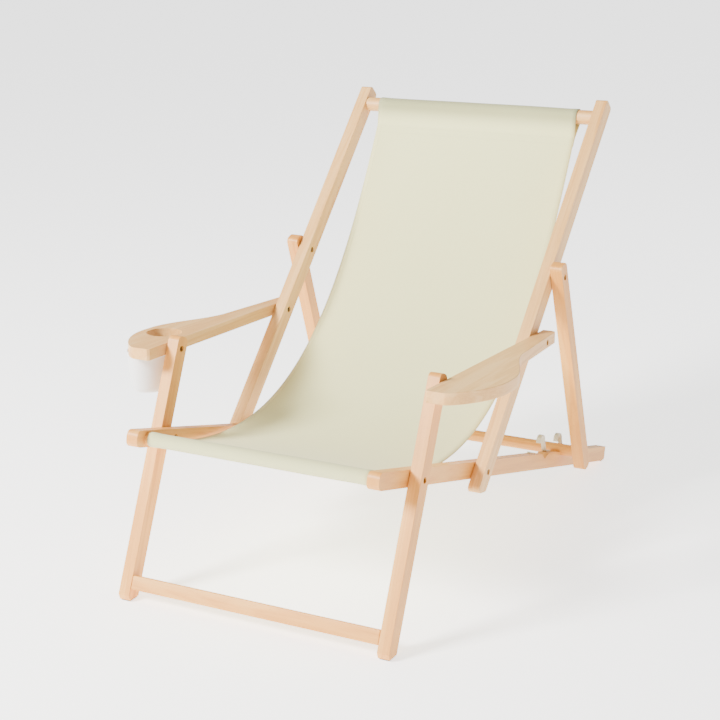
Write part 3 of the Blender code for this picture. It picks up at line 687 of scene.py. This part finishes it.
@dataclass
class Sling:
    """Canvas from the front bar over the sag to the top bar, sewn round both bars."""

    width: float = 0.466
    thickness: float = 0.0012
    sag: float = 0.242
    skew: float = 0.134
    sleeve: float = 0.046
    hem: float = 0.020
    ply_gap: float = 0.0015
    side_hem: float = 0.013
    bar_clearance: float = 0.0009
    columns: int = 44
    row_height: float = 0.0036
    stitch_pitch: float = 0.0048
    # Strength of the painted shade over the front bar, against 1 over the top bar.
    front_bar_shade_share: float = 0.42
    front_seam: float = 0.0
    top_seam: float = 0.0
    front_bar: Vector = field(default_factory=lambda: middle_of("seat_front_bar"))
    top_bar: Vector = field(default_factory=lambda: middle_of("back_top_bar"))

    def sagging(self, share: float) -> Vector:
        """Point (y, z) of the sag, at a share of the line between the bars."""
        chord = self.top_bar - self.front_bar
        down = Vector((chord.y, -chord.x)).normalized()
        depth = 4 * share * (1 - share) * (self.sag + self.skew * (0.5 - share))
        return self.front_bar + chord * share + down * depth

    def seam(self, bar: Vector, low: float, high: float) -> float:
        """Share at which the sag is one sleeve's length from a bar.

        Args:
            bar: Centre of the bar.
            low: Share at the bar.
            high: Share well away from it.

        Returns:
            The share.
        """
        for _ in range(40):
            middle = (low + high) / 2
            if (self.sagging(middle) - bar).length < self.sleeve:
                low = middle
            else:
                high = middle
        return low

    def loop(self, bar: Vector, node: str, seam: Vector) -> List[Vector]:
        """Canvas round a bar, from its lower ply to its upper ply.

        Args:
            bar: Centre of the bar.
            node: The bar's node.
            seam: Place of the seam.

        Returns:
            The points on the bar.
        """
        low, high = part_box(node)
        radius = (high[2] - low[2]) / 2 + self.bar_clearance
        heading = math.degrees(slope(bar, seam))
        spread = math.degrees(math.acos(radius / self.sleeve))
        return on_arc(bar, radius, heading - spread, heading - 360 + spread, 8.0)

    def path(self) -> Path:
        """Lay out the whole sheet in the side view.

        Returns:
            The path, from the front hem's end to the top hem's end.
        """
        front = self.seam(self.front_bar, 0.0, 0.3)
        top = self.seam(self.top_bar, 1.0, 0.7)
        shares = [front + (top - front) * i / 120 for i in range(121)]
        sag = [self.sagging(share) for share in shares]
        points = self.under(sag, 1) + self.loop(self.front_bar, "seat_front_bar", sag[0]) + sag
        points += self.loop(self.top_bar, "back_top_bar", sag[-1])
        points += self.under(sag[::-1], -1)[::-1]
        return Path(points)

    def under(self, sag: Sequence[Vector], turn: int) -> List[Vector]:
        """Hem's ply beneath the sag, from its end to the seam.

        Args:
            sag: Points of the sag, from the seam.
            turn: 1 at the front, -1 at the top.

        Returns:
            The points.
        """
        hem = []
        travelled = 0.0
        for here, ahead in zip(sag, sag[1:]):
            along = (ahead - here).normalized() * turn
            below = Vector((along.y, -along.x)) * self.ply_gap
            hem.append(here + below)
            travelled += (ahead - here).length
            if travelled > self.hem:
                break
        return hem[::-1]

    def relief(self, across: float, distance: float, total: float) -> float:
        """Height of the cloth's puckers and side hems above its middle surface.

        Args:
            across: Place along X.
            distance: Place along the sheet.
            total: Length of the sheet.

        Returns:
            The height in metres.
        """
        edge = self.width / 2 - abs(across)
        hem = 0.0005 / (1 + math.exp((edge - self.side_hem) / 0.0012))
        front = abs(distance - self.front_seam)
        top = abs(distance - self.top_seam)
        ripple = math.sin(across * 310.0 + 1.3 * math.sin(across * 43.0))
        pucker = 0.00045 * ripple * (math.exp(-front / 0.010) + math.exp(-top / 0.010))
        slack = 0.0012 * math.sin(across * 9.0 + 0.7) * math.sin(math.pi * distance / total * 3.0)
        return hem + pucker + slack * math.exp(-((edge - 0.10) / 0.12) ** 2)

    def build(self) -> bpy.types.Object:
        """Build the canvas and its stitches.

        Returns:
            The canvas.
        """
        path = self.path()
        self.front_seam = self.seam_distance(path, self.seam(self.front_bar, 0.0, 0.3))
        self.top_seam = self.seam_distance(path, self.seam(self.top_bar, 1.0, 0.7))
        rows = round(path.total / self.row_height)
        cage = bmesh.new()
        bmesh.ops.create_grid(cage, x_segments=self.columns, y_segments=rows, size=1.0)
        chart = cage.loops.layers.uv.new("UVMap")
        for vert in cage.verts:
            for loop in vert.link_loops:
                loop[chart].uv = ((vert.co.x + 1) / 2 * self.width, (vert.co.y + 1) / 2 * path.total)
        # Per-vertex mask of painted shade where a bar lies behind the cloth.
        bar_shade_layer = cage.verts.layers.float.new("over_bar")
        for vert in cage.verts:
            across = vert.co.x * self.width / 2
            distance = (vert.co.y + 1) / 2 * path.total
            along = path.tangent(distance)
            normal = Vector((-along.y, along.x))
            place = path.at(distance) + normal * self.relief(across, distance, path.total)
            vert.co = Vector((across, place.x, place.y))
            vert[bar_shade_layer] = self.over_bar(place)
        canvas = link("canvas_sling", cage, None)
        dress(canvas, CANVAS.build("canvas"))
        wall = canvas.modifiers.new("Cloth", "SOLIDIFY")
        wall.thickness = self.thickness
        wall.offset = 0.0
        stitches = self.stitches(path)
        for piece in (canvas, stitches):
            self.bend(piece)
        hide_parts("sling_seat", "sling_back")
        LOG.info("canvas: %.3f by %.3f m flat", self.width, path.total)
        return canvas

    def seam_distance(self, path: Path, share: float) -> float:
        """Distance along the sheet of the seam's upper ply."""
        place = self.sagging(share)
        near = [(length, (point - place).length) for length, point in zip(path.lengths, path.points)]
        return min(near, key=lambda pair: pair[1])[0]

    def over_bar(self, place: Vector) -> float:
        """Strength of the painted shade at a point of the cloth, standing in for the light that a bar behind
        it keeps from shining through.

        Args:
            place: Point (y, z) of the cloth.

        Returns:
            1 on a bar, 0 away from both.
        """
        shares = [min(1.0, max(0.0, (self.sleeve - (place - bar).length) / (self.sleeve - 0.012))) ** 2.6
                  for bar in (self.front_bar, self.top_bar)]
        return max(shares[0] * self.front_bar_shade_share, shares[1])

    def bend(self, piece: bpy.types.Object) -> None:
        """Bake a piece of the sling's placement into its mesh."""
        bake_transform(piece)

    def stitches(self, path: Path) -> bpy.types.Object:
        """Sew the sleeves and the side hems.

        Args:
            path: Side view of the canvas.

        Returns:
            All stitches as one piece.
        """
        cage = bmesh.new()
        half = self.width / 2
        lift = self.thickness / 2 + 0.00012
        rows = [self.front_seam + 0.002, self.front_seam + self.hem - 0.004,
                self.top_seam - 0.002, self.top_seam - self.hem + 0.004]
        count = round((self.width - 0.012) / self.stitch_pitch)
        for row in rows:
            for i in range(count + 1):
                across = -half + 0.006 + i * self.stitch_pitch
                self.stitch(cage, path, across, row, lift, True)
        count = round((self.top_seam - self.front_seam - 0.004) / self.stitch_pitch)
        for i in range(count):
            for across in (-half + self.side_hem - 0.0025, half - self.side_hem + 0.0025):
                self.stitch(cage, path, across, self.front_seam + 0.004 + i * self.stitch_pitch, lift, False)
        piece = link("sling_stitches", cage, None)
        dress(piece, HEM_THREAD.build("hem_thread"))
        return piece

    def stitch(self, cage: bmesh.types.BMesh, path: Path, across: float, distance: float, lift: float,
               crosswise: bool) -> None:
        """Add one stitch on the upper face.

        Args:
            cage: Mesh that takes it.
            path: Side view of the canvas.
            across: Place along X.
            distance: Place along the sheet.
            lift: Height above the cloth's middle.
            crosswise: Whether it runs along X.
        """
        along = path.tangent(distance)
        normal = Vector((0, -along.y, along.x))
        height = lift + self.relief(across, distance, path.total)
        place = Vector((across, *path.at(distance))) + normal * height
        run = Vector((1, 0, 0)) if crosswise else Vector((0, along.x, along.y))
        turn = Matrix((run, normal.cross(run), normal)).transposed().to_4x4()
        scale = Matrix.Diagonal((0.0017, 0.00045, 0.0003, 1.0))
        bmesh.ops.create_uvsphere(cage, u_segments=6, v_segments=4, radius=1.0,
                                  matrix=Matrix.Translation(place) @ turn @ scale)


# ---------------------------------------------------------------- cup pouch


@dataclass
class Pouch:
    """Soft oval bag under the cup hole, hung by a bound rim."""

    taper: float = 0.86
    wall: float = 0.0016
    segments: int = 72
    rings: int = 26
    sway: float = 0.0009
    cut: Point = (0.40, 0.135)
    chart: Point = (0.37, 0.12)
    floor_share: float = 0.30
    bend_share: float = 0.16
    centre: Vector = field(default_factory=Vector)
    half: Vector = field(default_factory=Vector)

    def build(self) -> bpy.types.Object:
        """Build the bag and its rim.

        Returns:
            The bag.
        """
        low, high = (Vector(corner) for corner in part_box("cup_pouch"))
        tilt = slope(middle_of("arm_front_bolt_left"), joint_place("armrest_fold"))
        self.centre = (low + high) / 2
        self.half = (high - low) / 2
        depth = self.half.z * 2 - self.half.y * 2 * abs(math.tan(tilt))
        place = Matrix.Translation(self.centre) @ Matrix.Rotation(tilt, 4, "X")
        cage = bmesh.new()
        bmesh.ops.create_grid(cage, x_segments=self.segments, y_segments=self.rings, size=1.0)
        chart = cage.loops.layers.uv.new("UVMap")
        for vert in cage.verts:
            for loop in vert.link_loops:
                loop[chart].uv = ((vert.co.x + 1) / 2 * self.chart[0], (vert.co.y + 1) / 2 * self.chart[1])
        for vert in cage.verts:
            vert.co = place @ self.shape(math.pi * vert.co.x, (vert.co.y + 1) / 2, depth)
        bmesh.ops.remove_doubles(cage, verts=cage.verts, dist=0.00002)
        bmesh.ops.recalc_face_normals(cage, faces=cage.faces)
        bag = link("pouch_bag", cage, "armrests")
        dress(bag, POUCH_CLOTH.build("pouch_cloth"))
        self.face_outwards(bag)
        wall = bag.modifiers.new("Cloth", "SOLIDIFY")
        wall.thickness = self.wall
        wall.offset = -1.0
        rim = self.rim(place, depth)
        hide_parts("cup_pouch")
        return bag

    def shape(self, turn: float, run: float, depth: float) -> Vector:
        """Place on the bag, before it is tilted with the armrest.

        Args:
            turn: Angle round the bag.
            run: 0 at the bottom's middle, 1 at the rim.
            depth: Height of the bag.

        Returns:
            The place.
        """
        floor, bend_share = self.floor_share, self.bend_share
        if run < floor:
            out = self.taper * (run / floor) * 0.84
            rise = 0.0018 * (1 - (run / floor) ** 2)
        else:
            up = (run - floor) / (1 - floor)
            bend = min(1.0, up / bend_share)
            out = self.taper * (0.84 + 0.16 * math.sin(bend * math.pi / 2))
            out += (1 - self.taper) * max(0.0, up - 0.10) / 0.90
            out += 0.018 * math.sin(math.pi * min(1.0, up * 1.15)) ** 2
            curve = bend_share * (1 - math.cos(bend * math.pi / 2)) * 0.5 + up * 0.5
            rise = depth * (up if up > bend_share else curve)
        fold = self.sway * math.sin(turn * 5 + 1.1 * math.sin(turn * 2)) * math.sin(math.pi * run)
        across = (self.half.x - self.wall * 0.2) * out + fold
        along = (self.half.y - self.wall * 0.2) * out + fold
        return Vector((across * math.cos(turn), along * math.sin(turn), -depth / 2 + rise))

    @staticmethod
    def face_outwards(bag: bpy.types.Object) -> None:
        """Turn the open bag's faces away from its middle."""
        middle = sum((vert.co for vert in bag.data.vertices), Vector()) / len(bag.data.vertices)
        outward = sum(face.area * face.normal.dot(face.center - middle) for face in bag.data.polygons)
        if outward < 0:
            bag.data.flip_normals()

    def rim(self, place: Matrix, depth: float) -> bpy.types.Object:
        """Bind the bag's rim.

        Args:
            place: Where the bag hangs.
            depth: Height of the bag.

        Returns:
            The binding.
        """
        cage = bmesh.new()
        bmesh.ops.create_grid(cage, x_segments=self.segments, y_segments=8, size=1.0)
        chart = cage.loops.layers.uv.new("UVMap")
        for vert in cage.verts:
            for loop in vert.link_loops:
                loop[chart].uv = ((vert.co.x + 1) * 0.18, (vert.co.y + 1) * 0.004)
        for vert in cage.verts:
            turn = math.pi * vert.co.x
            bead = math.pi * vert.co.y
            across = self.half.x - 0.0010 + 0.0010 * math.cos(bead)
            along = self.half.y - 0.0010 + 0.0010 * math.cos(bead)
            rise = depth / 2 - 0.0045 + 0.0042 * math.sin(bead)
            vert.co = place @ Vector((across * math.cos(turn), along * math.sin(turn), rise))
        bmesh.ops.remove_doubles(cage, verts=cage.verts, dist=0.00002)
        bmesh.ops.recalc_face_normals(cage, faces=cage.faces)
        piece = link("pouch_binding", cage, "armrests")
        dress(piece, POUCH_CLOTH.build("pouch_binding_cloth"))
        return piece


# ---------------------------------------------------------------- hardware


@dataclass
class Bolt:
    """Recessed bolt or barrel nut with a round head and a hexagon socket."""

    node: str
    body: str
    outwards: int
    head_thickness: float = 0.0025
    head_radius: float = 0.0048
    shank_radius: float = 0.0029
    socket_radius: float = 0.0027
    socket_depth: float = 0.0017
    segments: int = 36

    def build(self) -> bpy.types.Object:
        """Build it in place of its node.

        Returns:
            The piece.
        """
        low, high = (Vector(corner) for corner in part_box(self.node))
        middle = (low + high) / 2
        face = high.x if self.outwards > 0 else low.x
        length = high.x - low.x
        cage = bmesh.new()
        outer = bmesh.ops.create_circle(cage, segments=self.segments, radius=self.head_radius)["verts"]
        inner = bmesh.ops.create_circle(cage, segments=6, radius=self.socket_radius)["verts"]
        edges = list({edge for vert in inner for edge in vert.link_edges})
        cuts = self.segments // 6 - 1
        bmesh.ops.subdivide_edges(cage, edges=edges, cuts=cuts)
        rings = [[edge for edge in cage.edges if all((vert in outer) == wanted for vert in edge.verts)]
                 for wanted in (True, False)]
        bmesh.ops.bridge_loops(cage, edges=rings[0] + rings[1])
        self.sink(cage, rings[1], self.socket_depth)
        self.sink(cage, rings[0], self.head_thickness)
        shank = length - self.head_thickness
        if shank > 0.004:
            depth = self.head_thickness + shank / 2
            bmesh.ops.create_cone(cage, cap_ends=True, segments=20, radius1=self.shank_radius,
                                  radius2=self.shank_radius, depth=shank,
                                  matrix=Matrix.Translation((0, 0, -depth)))
        bmesh.ops.recalc_face_normals(cage, faces=cage.faces)
        crest = [edge for edge in cage.edges if all(abs(vert.co.z) < 1e-6 for vert in edge.verts)
                 and all(abs(vert.co.xy.length - self.head_radius) < 1e-5 for vert in edge.verts)]
        bmesh.ops.bevel(cage, geom=crest, offset=0.0006, segments=3, profile=0.5, affect="EDGES",
                        material=-1)
        aim = Matrix.Rotation(math.radians(90 * self.outwards), 4, "Y")
        cage.transform(Matrix.Translation((face, middle.y, middle.z)) @ aim)
        for edge in cage.edges:
            edge.smooth = edge.calc_face_angle(0.0) < math.radians(40)
        piece = link(self.node + "_finished", cage, self.body)
        # The head's near-black colour is painted shade of the recess.
        dress(piece, RECESS_SHADE_STEEL.build("blackened_" + self.node))
        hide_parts(self.node)
        return piece

    @staticmethod
    def sink(cage: bmesh.types.BMesh, ring: List[bmesh.types.BMEdge], depth: float) -> None:
        """Extrude a ring inwards along the bolt and close its end.

        Args:
            cage: The bolt's mesh.
            ring: Edges of the ring.
            depth: How far it goes.
        """
        made = bmesh.ops.extrude_edge_only(cage, edges=ring)["geom"]
        verts = [item for item in made if isinstance(item, bmesh.types.BMVert)]
        edges = [item for item in made if isinstance(item, bmesh.types.BMEdge)]
        bmesh.ops.translate(cage, verts=verts, vec=(0, 0, -depth))
        end = [edge for edge in edges if all(vert in verts for vert in edge.verts)]
        bmesh.ops.contextual_create(cage, geom=end)


@dataclass
class Hardware:
    """Bolts, nuts, washers, clips, bumpers and glides."""

    bodies: Dict[str, str] = field(default_factory=lambda: {
        "leg_pivot": "seat_frame", "back_pivot": "seat_frame", "arm_pivot": "back_frame",
        "prop_pivot": "back_frame", "arm_front": "leg_frame"})

    def build(self) -> None:
        """Build all hardware on both sides."""
        for side in Side:
            for pivot, body in self.bodies.items():
                outwards = side.value if pivot != "arm_front" else -side.value
                Bolt("{}_bolt_{}".format(pivot, side.word), body, outwards).build()
                if pivot != "arm_front":
                    Bolt("{}_nut_{}".format(pivot, side.word), body, -side.value).build()
                washer = "{}_washer_{}".format(pivot, side.word)
                rebuild(washer, body, STEEL.build("plated_" + washer))
            for row in ("front", "rear"):
                self.soft_edged("retaining_clip_{}_{}".format(row, side.word), "seat_frame",
                                "cream_plastic", CREAM)
            self.soft_edged("stop_button_" + side.word, "seat_frame", "cream_plastic", CREAM)
            self.soft_edged("leg_glide_" + side.word, "leg_frame", "glide_rubber", GLIDE)
            self.soft_edged("rail_glide_" + side.word, "seat_frame", "glide_rubber", GLIDE)

    @staticmethod
    def soft_edged(node: str, body: str, slot: str, finish: MouldedFinish) -> bpy.types.Object:
        """Rebuild a moulded piece with its sharp edges taken off.

        Args:
            node: Name of the node.
            body: Body it rides on.
            slot: Material slot of the record; not used.
            finish: Its finish.

        Returns:
            The piece.
        """
        piece = rebuild(node, body, finish.build("moulded_" + node), 30.0)
        piece.modifiers.clear()
        edges = piece.modifiers.new("Edges", "BEVEL")
        edges.width = 0.0005
        edges.segments = 2
        edges.limit_method = "ANGLE"
        edges.angle_limit = math.radians(40)
        return piece


# ---------------------------------------------------------------- studio


@dataclass
class Studio:
    """Pale floor, soft lights and the camera."""

    azimuth: float = 29.164
    elevation: float = 18.336
    roll: float = -1.3623
    place: Tuple[float, float, float] = (1.5713, -2.9412, 1.3973)
    lens: float = 86.2
    shift: Point = (0.0036, 0.0441)

    def build(self) -> None:
        """Set up the stage, the lights and the camera."""
        self.floor()
        self.light("key", (-2.1, -3.2, 2.9), 1.2, 560.0, (1.0, 0.985, 0.955))
        self.light("fill", (2.6, -2.6, 2.4), 2.6, 4.0, (1.0, 1.0, 1.0))
        self.light("back", (0.6, 3.0, 2.8), 2.4, 22.0, (1.0, 1.0, 1.0))
        self.world()
        self.camera()

    def floor(self) -> None:
        """Lay a pale floor."""
        cage = bmesh.new()
        bmesh.ops.create_grid(cage, x_segments=1, y_segments=1, size=14.0)
        bmesh.ops.translate(cage, verts=cage.verts, vec=(0, 0, -0.0006))
        mesh = bpy.data.meshes.new("floor")
        cage.to_mesh(mesh)
        cage.free()
        floor = bpy.data.objects.new("floor", mesh)
        bpy.context.scene.collection.objects.link(floor)
        sh = Shader("pale_floor")
        mesh.materials.append(sh.feed(Base_Color=(0.94, 0.94, 0.94), Roughness=0.9,
                                      Emission_Color=(1.0, 1.0, 1.0), Emission_Strength=2.0))

    def light(self, name: str, place: Sequence[float], size: float, power: float, colour: Colour) -> None:
        """Hang a soft light that faces the chair.

        Args:
            name: Name of the light.
            place: Where it hangs.
            size: Side of its square in metres.
            power: Watts.
            colour: Its colour.
        """
        lamp = bpy.data.lights.new(name, "AREA")
        lamp.size = size
        lamp.energy = power
        lamp.color = colour
        holder = bpy.data.objects.new(name, lamp)
        bpy.context.scene.collection.objects.link(holder)
        holder.location = place
        holder.rotation_euler = (Vector((0, 0, 0.4)) - Vector(place)).to_track_quat("-Z", "Y").to_euler()

    @staticmethod
    def world() -> None:
        """Light the surroundings evenly."""
        world = bpy.data.worlds.new("studio")
        world.use_nodes = True
        ground = world.node_tree.nodes["Background"]
        ground.inputs["Color"].default_value = (1.0, 1.0, 1.0, 1.0)
        ground.inputs["Strength"].default_value = 0.6
        bpy.context.scene.world = world

    def camera(self) -> None:
        """Place the camera."""
        turn, lift = math.radians(self.azimuth), math.radians(self.elevation)
        back = Vector((math.cos(lift) * math.sin(turn), -math.cos(lift) * math.cos(turn), math.sin(lift)))
        right = (-back).cross(Vector((0, 0, 1))).normalized()
        up = right.cross(-back)
        aim = Matrix((right, up, back)).transposed().to_4x4()
        lens = bpy.data.cameras.new("camera")
        lens.sensor_width = 36.0
        lens.lens = self.lens
        lens.shift_x, lens.shift_y = self.shift
        holder = bpy.data.objects.new("camera", lens)
        bpy.context.scene.collection.objects.link(holder)
        roll = Matrix.Rotation(math.radians(self.roll), 4, "Z")
        holder.matrix_world = Matrix.Translation(self.place) @ aim @ roll
        bpy.context.scene.camera = holder


def main() -> None:
    """Build the chair's pieces in order, then the studio."""
    logging.basicConfig(level=logging.INFO, format="%(name)s: %(message)s")
    WoodFrame().build()
    Sling().build()
    Pouch().build()
    Hardware().build()
    Studio().build()


if __name__ == "__main__":
    main()
